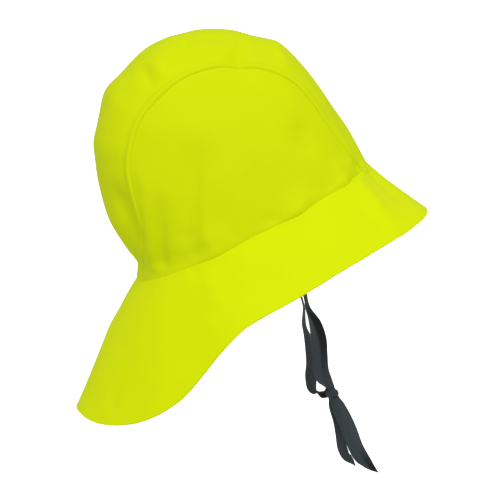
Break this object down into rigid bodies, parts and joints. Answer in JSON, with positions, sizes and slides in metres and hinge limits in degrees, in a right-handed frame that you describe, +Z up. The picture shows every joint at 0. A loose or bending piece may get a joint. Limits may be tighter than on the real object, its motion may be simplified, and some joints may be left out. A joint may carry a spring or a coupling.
{
  "type": "sou'wester hat",
  "caption": "Coated-fabric rain hat with a panelled domed crown, a down-turned brim short over the face and long over the neck, and flat ribbon ties knotted under the chin.",
  "frame": {"origin": "middle of the head opening, at the seam between the crown and the brim, where the hat sits on a head", "axes": "+Z up out of the crown, -Y forward out of the face, -X to the wearer's right"},
  "size_m": [0.2514, 0.3401, 0.4105],
  "materials": {
    "gusset_fabric": "satin",
    "side_fabric_right": "satin",
    "side_fabric_left": "satin",
    "brim_fabric": "satin",
    "ribbon_tape_right": "matte",
    "ribbon_tape_left": "matte",
    "tail_tape_right": "matte",
    "tail_tape_left": "matte",
    "knot_tape": "matte"
  },
  "bodies": {
    "root": {"crown_gusset": "gusset_fabric", "crown_side_right": "side_fabric_right", "crown_side_left": "side_fabric_left", "brim": "brim_fabric", "tie_ribbon_right": "ribbon_tape_right", "tie_ribbon_left": "ribbon_tape_left", "tie_tail_right": "tail_tape_right", "tie_tail_left": "tail_tape_left", "tie_knot": "knot_tape"}
  },
  "joints": []
}
